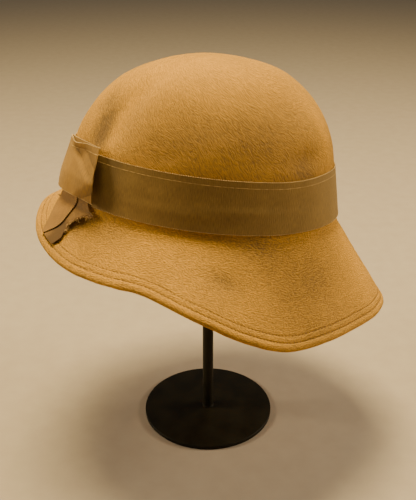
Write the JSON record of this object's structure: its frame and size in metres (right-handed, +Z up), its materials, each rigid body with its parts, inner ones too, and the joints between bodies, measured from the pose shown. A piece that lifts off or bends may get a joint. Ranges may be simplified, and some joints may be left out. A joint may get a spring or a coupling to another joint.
{
  "type": "cloche hat on a display stand",
  "caption": "Felt cloche hat with a drooping stitched brim, a grosgrain band and a flat bow at the back, resting on a round display stand.",
  "frame": {"origin": "centre of the stand disc's underside, on the surface that it rests on", "axes": "+Z up, +X towards the front of the hat, -Y towards the side on which the bow shows"},
  "size_m": [0.2665, 0.2512, 0.3113],
  "materials": {
    "camel_felt": "brushed wool felt, nap swept one way",
    "olive_grosgrain": "fine ribbed ribbon, slight sheen",
    "black_metal": "matt powder coat",
    "black_padding": "plain dark covered foam"
  },
  "bodies": {
    "root": {"felt_body": "camel_felt", "ribbon_band": "olive_grosgrain", "ribbon_loop": "olive_grosgrain", "ribbon_tail_upper": "olive_grosgrain", "ribbon_tail_under": "olive_grosgrain", "stand_base": "black_metal", "stand_post": "black_metal", "stand_head": "black_padding"}
  },
  "joints": []
}
